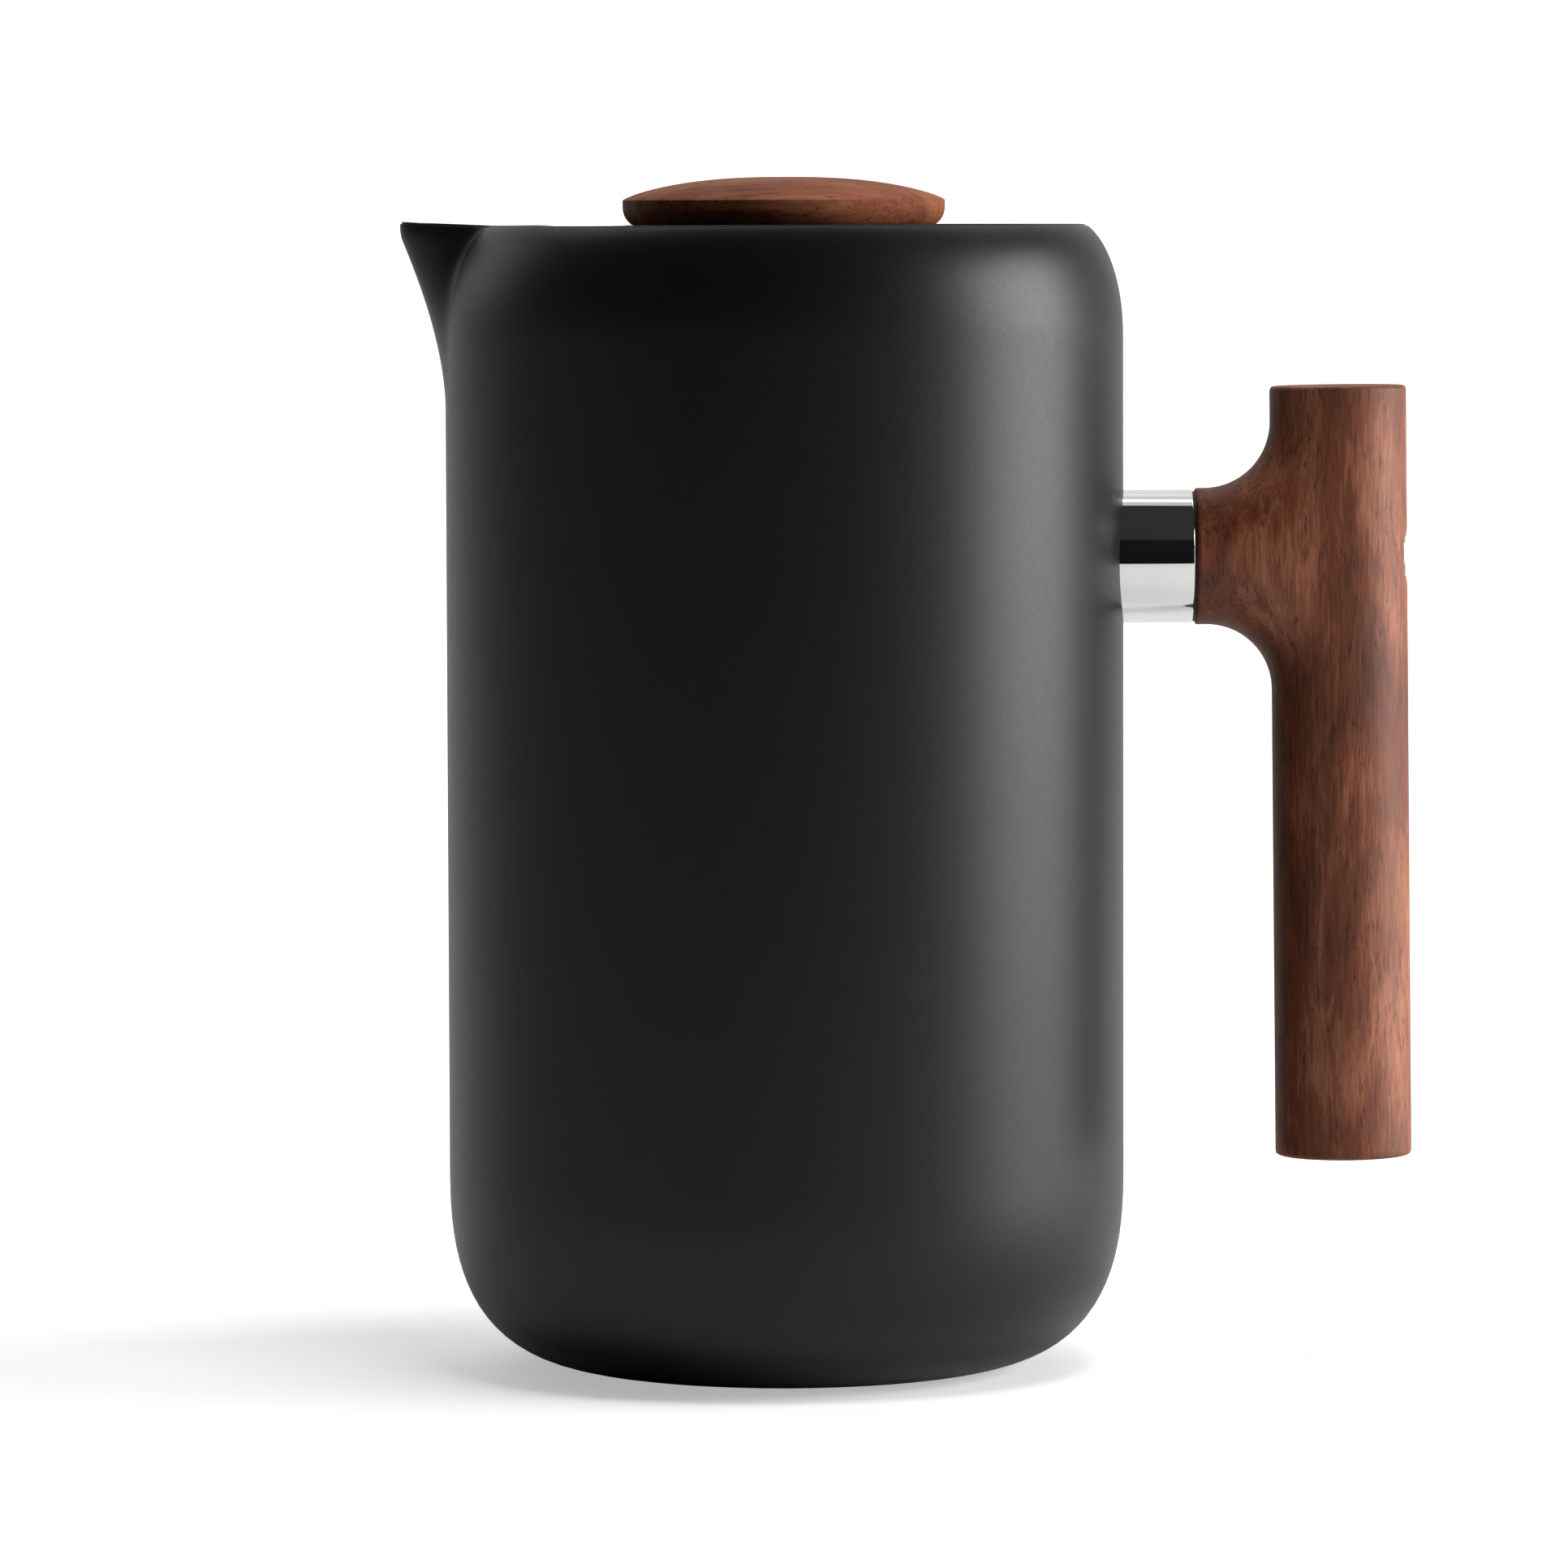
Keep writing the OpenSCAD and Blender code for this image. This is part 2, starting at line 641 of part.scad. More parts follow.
module rod_guide() {
    low = hub_low - guide_nut_h - guide_thread_proud;
    color("#c4c5c8") rotate_extrude() polygon([
        [rod_r + run_gap, low], [guide_r, low], [guide_r, flange_z], [guide_flange_r, flange_z],
        [guide_flange_r, guide_top - guide_edge], [guide_flange_r - guide_edge, guide_top],
        [rod_r + run_gap, guide_top]]);
}

module guide_nut() {
    color("#a9abaf") nut(guide_nut_af, guide_r, hub_low - guide_nut_h, guide_nut_h);
}

// ---------- plunger ----------

knob_low = guide_top + knob_gap;
knob_r = knob_d / 2;
knob_tuck = 2.6; // how far the knob's lower rounding reaches in
insert_flange_r = insert_r + 2.5;
insert_floor = 0.6; // solid end of the insert above the rod
rod_top = knob_low + insert_h - insert_floor;
thread_step = 0.5; // how far the rod's shoulder stands out from its threaded end
thread_r = rod_r - thread_step; // the rod's lower end, below its shoulder
thread_proud = 1; // how far the rod's threaded end stands out of its nut
bed_z = liner_floor + bed_h; // lower face of the cross plate
mesh_z = bed_z + cross_sheet;
top_plate_z = mesh_z + mesh_t;
shoulder = top_plate_z + top_sheet; // the rod's shoulder, which the top plate bears on
wiper_r = liner_r - lip_gap;
wiper_w = 5; // width of the wiper ring
wiper_hold = 2; // how far both plates reach into the wiper
wiper_in_r = wiper_r - wiper_w;
plate_out_r = wiper_in_r + wiper_hold;

module knob() {
    edge_z = knob_low + knob_t - knob_dome;
    dome_r = (knob_r * knob_r + knob_dome * knob_dome) / (2 * knob_dome);
    dome_a = asin(knob_r / dome_r);
    dome_c = [0, edge_z + knob_dome - dome_r];
    color("#8a5138") difference() {
        rotate_extrude() polygon(concat([[0, knob_low]],
            [for (i = [0:arc_steps]) let (a = 90 * i / arc_steps)
                [knob_r - knob_tuck + knob_tuck * sin(a), knob_low + knob_round * (1 - cos(a))]],
            [for (i = [0:arc_steps]) let (a = dome_a * (1 - i / arc_steps))
                dome_c + dome_r * [sin(a), cos(a)]]));
        translate([0, 0, knob_low - over]) cylinder(r = insert_r, h = insert_h + over);
        translate([0, 0, knob_low - over]) cylinder(r = insert_flange_r, h = insert_flange_t + over);
    }
}

module knob_insert() {
    color("#c9a860") difference() {
        union() {
            translate([0, 0, knob_low]) cylinder(r = insert_r, h = insert_h);
            translate([0, 0, knob_low]) cylinder(r = insert_flange_r, h = insert_flange_t);
        }
        translate([0, 0, knob_low - over]) cylinder(r = rod_r, h = rod_top - knob_low + over);
    }
}

module plunger_rod() {
    low = bed_z - nut_h - thread_proud;
    color("#cfd0d3") union() {
        translate([0, 0, shoulder]) cylinder(r = rod_r, h = rod_top - shoulder);
        translate([0, 0, low]) cylinder(r = thread_r, h = shoulder - low);
    }
}

module rod_collar() {
    color("#b4b5b9") difference() {
        translate([0, 0, shoulder]) cylinder(r = rod_collar_r, h = rod_collar_h);
        translate([0, 0, shoulder - over]) cylinder(r = rod_r, h = rod_collar_h + 2 * over);
    }
}

module top_plate() {
    hub = 3; // width of the plain ring round the rod's collar
    rim = 1; // width of the plain ring inside the wiper
    hole = 4;
    pitch = 7;
    color("#bcbdc1") translate([0, 0, top_plate_z]) linear_extrude(top_sheet) difference() {
        circle(plate_out_r);
        circle(thread_r);
        plate_holes(rod_collar_r + hub, wiper_in_r - rim, hole, pitch);
    }
}

module filter_mesh() {
    color("#9a9ca1") translate([0, 0, mesh_z]) linear_extrude(mesh_t) difference() {
        circle(plate_out_r);
        circle(thread_r);
    }
}

module cross_plate() {
    windows = 8;
    bar = 3;
    hub = rod_collar_r + 2;
    color("#b2b3b7") translate([0, 0, bed_z]) linear_extrude(cross_sheet) difference() {
        circle(plate_out_r);
        circle(thread_r);
        difference() {
            circle(wiper_in_r - bar);
            circle(hub);
            for (i = [0:windows - 1]) rotate(360 * i / windows) translate([0, -bar / 2])
                square([plate_out_r, bar]);
        }
    }
}

module filter_wiper() {
    mid = (bed_z + shoulder) / 2;
    color("#4a4a4d") difference() {
        lip_ring(wiper_in_r, wiper_r, mid - wiper_h / 2, wiper_h);
        translate([0, 0, bed_z]) cylinder(r = plate_out_r, h = shoulder - bed_z);
    }
}

module filter_nut() {
    color("#a9abaf") nut(nut_af, thread_r, bed_z - nut_h, nut_h);
}

outer_shell();
inner_liner();
base_plate();
seal_bead();
getter();
base_pad();
handle_boss();
handle_collar();
collar_gasket();
handle_grip();
handle_screw();
screw_washer();
for (i = [1:dowels]) grip_dowel(i);
lid_cover();
lid_frame();
lid_gasket();
lid_strainer();
for (i = [1:strainer_screws]) strainer_screw(i);
rod_guide();
guide_nut();
knob();
knob_insert();
plunger_rod();
rod_collar();
top_plate();
filter_mesh();
filter_wiper();
cross_plate();
filter_nut();
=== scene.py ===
# A double-walled steel coffee press with a walnut T handle and a walnut knob, dressed for a picture.
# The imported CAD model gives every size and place. The file follows the press as it is put together.
import math

import bmesh
import bpy
from mathutils import Matrix, Vector


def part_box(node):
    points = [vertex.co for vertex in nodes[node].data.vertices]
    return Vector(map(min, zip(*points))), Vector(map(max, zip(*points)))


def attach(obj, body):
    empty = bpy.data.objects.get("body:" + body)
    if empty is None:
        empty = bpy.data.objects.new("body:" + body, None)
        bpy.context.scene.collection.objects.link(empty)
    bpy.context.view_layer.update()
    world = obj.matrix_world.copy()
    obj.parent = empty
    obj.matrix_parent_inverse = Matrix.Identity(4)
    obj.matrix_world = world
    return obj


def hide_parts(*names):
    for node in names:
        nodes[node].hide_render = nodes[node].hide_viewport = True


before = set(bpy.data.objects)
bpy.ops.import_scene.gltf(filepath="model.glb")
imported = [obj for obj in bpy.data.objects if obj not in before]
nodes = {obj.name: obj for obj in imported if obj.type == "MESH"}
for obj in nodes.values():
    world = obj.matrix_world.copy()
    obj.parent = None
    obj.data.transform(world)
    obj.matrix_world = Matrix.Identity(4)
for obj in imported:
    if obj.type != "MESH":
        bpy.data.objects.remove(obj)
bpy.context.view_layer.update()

# ---------------------------------------------------------------- camera, table and lights
# The press stands on a white sweep, with a wide soft light on the handle's side and a panel over the
# back. A black cloth behind the camera darkens what the polished steel mirrors. The sweep and the
# room are paler to the camera than they are as lights.
scene = bpy.context.scene
scene.view_settings.view_transform = "Standard"
camera_place = (-0.01395, -1.3099, 0.1750)
camera_yaw, camera_tip, camera_roll = -0.6, 86.2, -0.18
focal_length = 199.55
sweep_width, sweep_front, sweep_back, sweep_height, sweep_bend = 6.0, -0.65, 2.2, 4.0, 1.0
bend_steps = 16
room_light, room_seen = 0.03, 1.0
paper_lift = 0.42
flag_width, flag_y, flag_low, flag_high = 6.0, -1.9, -0.6, 1.26


def turn(axis, degrees):
    return Matrix.Rotation(math.radians(degrees), 4, axis)


camera = bpy.data.objects.new("camera", bpy.data.cameras.new("camera"))
camera.data.sensor_width = 36
camera.data.lens = focal_length
camera.matrix_world = (
    Matrix.Translation(camera_place) @ turn("Z", camera_yaw) @ turn("X", camera_tip) @ turn("Z", camera_roll))
scene.collection.objects.link(camera)
scene.camera = camera


def node(tree, kind, values=None, **settings):
    """A node of a kind such as TexNoise, with its settings and the values of its inputs."""
    made = tree.nodes.new("ShaderNode" + kind)
    for key, value in settings.items():
        setattr(made, key, value)
    for key, value in (values or {}).items():
        if isinstance(value, bpy.types.NodeSocket):
            tree.links.new(value, made.inputs[key])
        else:
            made.inputs[key].default_value = value
    return made


def surface(name, **values):
    """A new material and its tree. Underscores in a socket's name stand for spaces."""
    made = bpy.data.materials.new(name)
    made.use_nodes = True
    for key, value in values.items():
        made.node_tree.nodes["Principled BSDF"].inputs[key.replace("_", " ")].default_value = value
    return made, made.node_tree


def feed(tree, **sockets):
    """Links values that change over the surface to the shader."""
    shader = tree.nodes["Principled BSDF"]
    for key, socket in sockets.items():
        tree.links.new(socket, shader.inputs[key.replace("_", " ")])


def object_place(tree):
    return node(tree, "TexCoord").outputs["Object"]


def coat_with(piece, material):
    piece.data.materials.clear()
    piece.data.materials.append(material)


def dress(material, *names):
    """Gives CAD nodes a material."""
    for name in names:
        coat_with(nodes[name], material)


paper, tree = surface("white_sweep", Roughness=0.9, Emission_Color=(1, 1, 1, 1))
fibres = node(tree, "TexNoise", {"Vector": object_place(tree), "Scale": 300.0})
tint = node(tree, "MixRGB", {"Fac": fibres.outputs["Fac"], "Color1": (0.86, 0.86, 0.86, 1),
                             "Color2": (0.89, 0.89, 0.89, 1)})
bump = node(tree, "Bump", {"Height": fibres.outputs["Fac"], "Strength": 0.02, "Distance": 0.0005})
seen = node(tree, "LightPath").outputs["Is Camera Ray"]
lifted = node(tree, "Math", {0: seen, 1: paper_lift}, operation="MULTIPLY")
feed(tree, Base_Color=tint.outputs["Color"], Normal=bump.outputs["Normal"],
     Emission_Strength=lifted.outputs["Value"])

bend = [(sweep_back - sweep_bend + sweep_bend * math.sin(a), sweep_bend - sweep_bend * math.cos(a))
        for a in (math.pi / 2 * i / bend_steps for i in range(bend_steps + 1))]
bm = bmesh.new()
line = [bm.verts.new((-sweep_width / 2, y, z))
        for y, z in [(sweep_front, 0)] + bend + [(sweep_back, sweep_height)]]
edges = [bm.edges.new(pair) for pair in zip(line, line[1:])]
made = bmesh.ops.extrude_edge_only(bm, edges=edges)
bmesh.ops.translate(bm, verts=[v for v in made["geom"] if isinstance(v, bmesh.types.BMVert)],
                    vec=(sweep_width, 0, 0))
bmesh.ops.recalc_face_normals(bm, faces=bm.faces)
for face in bm.faces:
    face.smooth = True
mesh = bpy.data.meshes.new("sweep")
bm.to_mesh(mesh)
bm.free()
sweep = bpy.data.objects.new("sweep", mesh)
scene.collection.objects.link(sweep)
coat_with(sweep, paper)

world = bpy.data.worlds.new("room")
world.use_nodes = True
around = world.node_tree.nodes["Background"]
around.inputs["Color"].default_value = (1, 1, 1, 1)
seen = node(world.node_tree, "LightPath").outputs["Is Camera Ray"]
pale = node(world.node_tree, "Math", {0: seen, 1: room_seen, 2: room_light}, operation="MULTIPLY_ADD")
world.node_tree.links.new(pale.outputs["Value"], around.inputs["Strength"])
scene.world = world


def softbox(name, place, target, width, height, watts, mirrored=True):
    """An area light. One that is not mirrored lights and shades, but shows in no reflection."""
    light = bpy.data.lights.new(name, "AREA")
    light.shape = "RECTANGLE"
    light.size = width
    light.size_y = height
    light.energy = watts
    lamp = bpy.data.objects.new(name, light)
    lamp.location = place
    lamp.rotation_euler = (Vector(target) - Vector(place)).to_track_quat("-Z", "Y").to_euler()
    lamp.visible_glossy = mirrored
    scene.collection.objects.link(lamp)


softbox("side_light", (1.55, -0.05, 0.45), (0, 0, 0.1), 1.1, 1.0, 34)
softbox("left_light", (-1.5, 1.1, 0.8), (0, 0, 0.15), 0.9, 0.9, 2.2)
softbox("overhead_panel", (0, 1.5, 2.1), (0, 1.4, 0), 3.6, 2.2, 14)
softbox("floor_light", (0.35, -0.45, 1.9), (0, 0, 0), 0.6, 0.6, 13, mirrored=False)
softbox("wall_light", (0, 0.9, 2.0), (0, 2.2, 0.6), 3.0, 0.6, 12)

black_cloth, tree = surface("black_cloth", Roughness=1.0)
threads = node(tree, "TexNoise", {"Vector": object_place(tree), "Scale": 500.0})
tint = node(tree, "MixRGB", {"Fac": threads.outputs["Fac"], "Color1": (0.001, 0.001, 0.001, 1),
                             "Color2": (0.003, 0.003, 0.003, 1)})
feed(tree, Base_Color=tint.outputs["Color"])
bm = bmesh.new()
bm.faces.new([bm.verts.new((x, flag_y, z)) for x, z in (
    (-flag_width / 2, flag_low), (flag_width / 2, flag_low),
    (flag_width / 2, flag_high), (-flag_width / 2, flag_high))])
mesh = bpy.data.meshes.new("black_flag")
bm.to_mesh(mesh)
bm.free()
flag = bpy.data.objects.new("black_flag", mesh)
scene.collection.objects.link(flag)
flag.visible_camera = False
coat_with(flag, black_cloth)

# ---------------------------------------------------------------- outer shell
# The shell is drawn from thin stainless sheet, pressed out into a narrow spout and powder coated
# matte black. Its rounded rim laps over the liner, and its bottom is open round the base plate.
mm = 0.001
shell_low, shell_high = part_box("outer_shell")
pot_r = shell_high.x
rim_z = shell_high.z
lip_r = -shell_low.x
shell_sheet = 0.4 * mm
rim_r = 45.35 * mm
rim_edge = 0.3 * mm
corner_reach, corner_rise, corner_power = 27.3 * mm, 31 * mm, 2.75
shoulder_reach, shoulder_rise = 8 * mm, 17.2 * mm
base_open_r = 30 * mm
shell_bottom = 0.25 * mm
spout_start = 145 * mm
spout_power = 1.7
spout_half_width = 10.75 * mm
spout_root = 0.8
lip_rise, lip_rise_power = 0.6 * mm, 8
lip_over = 0.7 * mm
lip_roll, lip_roll_h, lip_roll_power = 0.8 * mm, 2.3 * mm, 1.5
turned_steps = 256
corner_steps, wall_steps, shoulder_steps = 24, 6, 28
spout_wall_steps = 8
corner_skip = 0.12


def arc(centre, radius, start, end, steps=6):
    """Points of an arc, in degrees from the direction away from the axis."""
    turns = [math.radians(start + (end - start) * i / steps) for i in range(steps + 1)]
    return [(centre[0] + radius * math.cos(a), centre[1] + radius * math.sin(a)) for a in turns]


def turned(outline, steps=128):
    """A bmesh spun from an outline of (radius, height) points about the pot's axis."""
    bm = bmesh.new()
    line = [bm.verts.new((r, 0, z)) for r, z in outline]
    edges = [bm.edges.new(pair) for pair in zip(line, line[1:])]
    bmesh.ops.spin(bm, geom=line + edges, cent=(0, 0, 0), axis=(0, 0, 1), angle=2 * math.pi,
                   steps=steps, use_merge=True)
    return bm


def finished(bm, name, body, material, replaced=(), crease=40):
    """Turns a bmesh into a piece that rides on a body, with edges sharper than crease kept sharp."""
    bmesh.ops.remove_doubles(bm, verts=bm.verts, dist=1e-6)
    bmesh.ops.recalc_face_normals(bm, faces=bm.faces)
    for face in bm.faces:
        face.smooth = True
    for edge in bm.edges:
        edge.smooth = len(edge.link_faces) == 2 and edge.calc_face_angle() < math.radians(crease)
    mesh = bpy.data.meshes.new(name)
    bm.to_mesh(mesh)
    bm.free()
    piece = bpy.data.objects.new(name, mesh)
    scene.collection.objects.link(piece)
    coat_with(piece, material)
    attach(piece, body)
    if replaced:
        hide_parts(*replaced)
    return piece


def crowd(bm, amount=0.6):
    """Draws the columns of a turned shape together round the spout, which is at -X."""
    for vert in bm.verts:
        angle = math.atan2(vert.co.y, vert.co.x)
        radius = math.hypot(vert.co.x, vert.co.y)
        angle += amount * math.sin(angle)
        vert.co.x, vert.co.y = radius * math.cos(angle), radius * math.sin(angle)


def draw_spout(bm, start, power, half_width, lip, home):
    """Draws a turned wall out to the lip. home gives the outer radius of the plain wall at a height."""
    for vert in bm.verts:
        x, y, z = vert.co
        run = (z - start) / (rim_z - start)
        half = half_width * (spout_root + (1 - spout_root) * run)
        if x > 0 or run <= 0 or abs(y) > half:
            continue
        bell = (1 + math.cos(math.pi * y / half)) / 2
        radius = math.hypot(x, y)
        rolled = max(0, (z - rim_z + lip_roll_h) / lip_roll_h)
        tip = home(start) + (lip + lip_over - home(start)) * run ** power
        tip -= lip_roll * rolled ** lip_roll_power
        scale = (radius + bell * (tip - home(z))) / radius
        vert.co.x, vert.co.y = x * scale, y * scale
        vert.co.z += lip_rise * bell * run ** lip_rise_power


def corner_point(angle, inset=0.0):
    s, c = math.sin(angle), math.cos(angle)
    reach = (c ** corner_power + s ** corner_power) ** (-1 / corner_power)
    return (pot_r - corner_reach + (corner_reach - inset) * reach * s,
            corner_rise - (corner_rise - inset) * reach * c)


shoulder_end = math.acos(1 - (pot_r - rim_r) / shoulder_reach)
shoulder_z = rim_z - shoulder_rise * math.sin(shoulder_end)


def wall_at(z):
    """Outer radius of the shell's wall and shoulder at a height."""
    rise = max(0, min(1, (z - shoulder_z) / shoulder_rise))
    return pot_r - shoulder_reach * (1 - math.sqrt(1 - rise ** 2))


def shell_side(inset):
    """The shell's side from its bottom to below its rim, as (radius, height) points."""
    corner = [corner_point(math.pi / 2 * (corner_skip + (1 - corner_skip) * i / corner_steps), inset)
              for i in range(corner_steps + 1)]
    wall = [(pot_r - inset, corner_rise + (spout_start - corner_rise) * i / wall_steps)
            for i in range(1, wall_steps + 1)]
    wall += [(pot_r - inset, spout_start + (shoulder_z - spout_start) * i / spout_wall_steps)
             for i in range(1, spout_wall_steps)]
    shoulder = [(wall_at(z) - inset, z) for z in (
        shoulder_z + (rim_z - rim_edge - shoulder_z) * math.sin(math.pi / 2 * i / shoulder_steps)
        for i in range(shoulder_steps + 1))]
    inside = [p for p in corner if p[0] > base_open_r + mm]
    return [(base_open_r, shell_bottom + inset)] + inside + wall + shoulder


outline = shell_side(0) + arc((rim_r - rim_edge, rim_z - rim_edge), rim_edge, 15, 90, 4)
outline += [(rim_r - shell_sheet, rim_z)] + shell_side(shell_sheet)[::-1] + [(base_open_r, shell_bottom)]
bm = turned(outline, turned_steps)
crowd(bm)
draw_spout(bm, spout_start, spout_power, spout_half_width, lip_r, wall_at)


def effect(name, inputs, outputs):
    """A new shader node group, its entry and exit. Each input is a name and its first value."""
    group = bpy.data.node_groups.new(name, "ShaderNodeTree")
    for title, value in inputs.items():
        kind = "Float" if isinstance(value, float) else "Vector" if value is None else "Color"
        made = group.interface.new_socket(title, in_out="INPUT", socket_type="NodeSocket" + kind)
        if value is not None:
            made.default_value = value
    for title, kind in outputs.items():
        group.interface.new_socket(title, in_out="OUTPUT", socket_type="NodeSocket" + kind)
    return group, group.nodes.new("NodeGroupInput").outputs, group.nodes.new("NodeGroupOutput").inputs


def placed(tree, group, values):
    """A group's node in a material, reading the object's own coordinates unless told otherwise."""
    made = tree.nodes.new("ShaderNodeGroup")
    made.node_tree = group
    for key, value in {"Vector": object_place(tree), **values}.items():
        if isinstance(value, bpy.types.NodeSocket):
            tree.links.new(value, made.inputs[key])
        else:
            made.inputs[key].default_value = value
    return made.outputs


# handled: soft clouds where fingers and cloths have been, as a mask from 0 to 1
handled, entry, leave = effect("handled", {"Vector": None, "Scale": 30.0, "Low": 0.35, "High": 0.7},
                               {"Mask": "Float"})
cloud = node(handled, "TexNoise", {"Vector": entry["Vector"], "Scale": entry["Scale"], "Detail": 5.0,
                                   "Roughness": 0.55})
spread = node(handled, "MapRange", {"Value": cloud.outputs["Fac"], "From Min": entry["Low"],
                                    "From Max": entry["High"]})
handled.links.new(spread.outputs["Result"], leave["Mask"])

# skin: the fine pebbled surface of a sprayed or moulded finish, as a height
skin, entry, leave = effect("skin", {"Vector": None, "Scale": 1400.0, "Coarseness": 0.6}, {"Height": "Float"})
pebbles = node(skin, "TexNoise", {"Vector": entry["Vector"], "Scale": entry["Scale"], "Detail": 3.0,
                                  "Roughness": entry["Coarseness"]})
skin.links.new(pebbles.outputs["Fac"], leave["Height"])

coat, tree = surface("black_powder_coat", Specular_IOR_Level=0.36)
peel = placed(tree, skin, {"Scale": 1400.0})["Height"]
touched = placed(tree, handled, {"Scale": 16.0})["Mask"]
tint = node(tree, "MixRGB", {"Fac": touched, "Color1": (0.0055, 0.0055, 0.0058, 1),
                             "Color2": (0.0085, 0.0085, 0.0088, 1)})
rough = node(tree, "MapRange", {"Value": peel, "To Min": 0.35, "To Max": 0.47})
rubbed = node(tree, "Math", {0: touched, 1: -0.02, 2: rough.outputs["Result"]}, operation="MULTIPLY_ADD")
bump = node(tree, "Bump", {"Height": peel, "Strength": 0.25, "Distance": 0.00006})
feed(tree, Base_Color=tint.outputs["Color"], Roughness=rubbed.outputs["Value"], Normal=bump.outputs["Normal"])
finished(bm, "coated_shell", "pot", coat, ["outer_shell"])

# ---------------------------------------------------------------- liner
# The liner is drawn from 0.7 mm stainless sheet and polished. It is welded to the shell at the rim
# and follows the spout out to the lip. The space between the two walls is empty.
liner_low, liner_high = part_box("inner_liner")
liner_sheet = 0.7 * mm
liner_r = liner_high.y
liner_corner = 14.7 * mm
channel_start = 149 * mm
channel_power = 1.35
channel_gap = 0.5 * mm
channel_steps = 26
weld_drop = 0.04 * mm
rim_top = rim_z - weld_drop


def liner_side(inset):
    centre = (liner_r - liner_corner, liner_low.z + liner_corner)
    side = [(0, liner_low.z + inset)] + arc(centre, liner_corner - inset, -90, 0, 16)
    side += [(liner_r - inset, centre[1] + (channel_start - centre[1]) * i / wall_steps)
             for i in range(1, wall_steps + 1)]
    return side + [(liner_r - inset, channel_start + (rim_top - channel_start) * i / channel_steps)
                   for i in range(1, channel_steps + 1)]


bm = turned(liner_side(0) + liner_side(liner_sheet)[::-1], turned_steps)
crowd(bm)
draw_spout(bm, channel_start, channel_power, spout_half_width - channel_gap, lip_r - channel_gap,
           lambda z: liner_r)

# scratched: fine marks in three directions, as a mask
scratched, entry, leave = effect("scratched", {"Vector": None, "Scale": 900.0, "Threshold": 0.62},
                                 {"Mask": "Float"})
total = None
for angle in (0.2, 1.3, 2.4):
    turned_place = node(scratched, "Mapping", {"Vector": entry["Vector"], "Scale": (1.0, 1.0, 0.03),
                                               "Rotation": (angle, 0.7 * angle, angle)})
    noise = node(scratched, "TexNoise", {"Vector": turned_place.outputs["Vector"], "Scale": entry["Scale"],
                                         "Detail": 2.0})
    cut = node(scratched, "Math", {0: noise.outputs["Fac"], 1: entry["Threshold"]}, operation="SUBTRACT")
    mark = node(scratched, "Math", {0: cut.outputs["Value"], 1: 10.0}, operation="MULTIPLY", use_clamp=True)
    total = mark.outputs["Value"] if total is None else node(
        scratched, "Math", {0: total, 1: mark.outputs["Value"]}, operation="MAXIMUM").outputs["Value"]
scratched.links.new(total, leave["Mask"])


def metal(name, colour, roughness, marks=0.08, cloudy=0.25, depth=0.00002):
    """Bare metal with a cloudy shine, fine marks and a trace of discolouring."""
    made, tree = surface(name, Metallic=1.0)
    mark = placed(tree, scratched, {})["Mask"]
    cloud = placed(tree, handled, {"Scale": 45.0, "Low": 0.3, "High": 0.7})["Mask"]
    tint = node(tree, "MixRGB", {"Fac": cloud, "Color1": (*colour, 1),
                                 "Color2": (colour[0] * 0.9, colour[1] * 0.89, colour[2] * 0.87, 1)})
    rough = node(tree, "MapRange", {"Value": cloud, "To Min": roughness * (1 - cloudy),
                                    "To Max": roughness * (1 + cloudy)})
    marked = node(tree, "Math", {0: mark, 1: marks, 2: rough.outputs["Result"]}, operation="MULTIPLY_ADD")
    bump = node(tree, "Bump", {"Height": mark, "Strength": marks, "Distance": depth}, invert=True)
    feed(tree, Base_Color=tint.outputs["Color"], Roughness=marked.outputs["Value"],
         Normal=bump.outputs["Normal"])
    return made


liner_steel = metal("polished_liner", (0.62, 0.61, 0.60), 0.22)
finished(bm, "steel_liner", "pot", liner_steel, ["inner_liner"])

# ---------------------------------------------------------------- base
# A steel plate closes the shell's bottom. Its raised port holds the glass bead that seals the vacuum
# and a getter capsule stands beside it. A grooved silicone pad is stuck underneath.
pad_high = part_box("base_pad")[1]
pad_r = pad_high.x
groove_r = 0.4 * mm
groove_rings = (0.45, 0.7, 0.85)
pad_edge = 0.4 * mm

dress(metal("base_steel", (0.55, 0.55, 0.56), 0.38), "base_plate")
dress(metal("getter_metal", (0.32, 0.33, 0.35), 0.5), "getter")

bead_glass, tree = surface("seal_glass")
cloud = placed(tree, handled, {"Scale": 700.0})["Mask"]
tint = node(tree, "MixRGB", {"Fac": cloud, "Color1": (0.22, 0.30, 0.26, 1), "Color2": (0.36, 0.44, 0.40, 1)})
rough = node(tree, "MapRange", {"Value": cloud, "To Min": 0.08, "To Max": 0.2})
bump = node(tree, "Bump", {"Height": cloud, "Strength": 0.2, "Distance": 0.0001})
feed(tree, Base_Color=tint.outputs["Color"], Roughness=rough.outputs["Result"], Normal=bump.outputs["Normal"])
dress(bead_glass, "seal_bead")


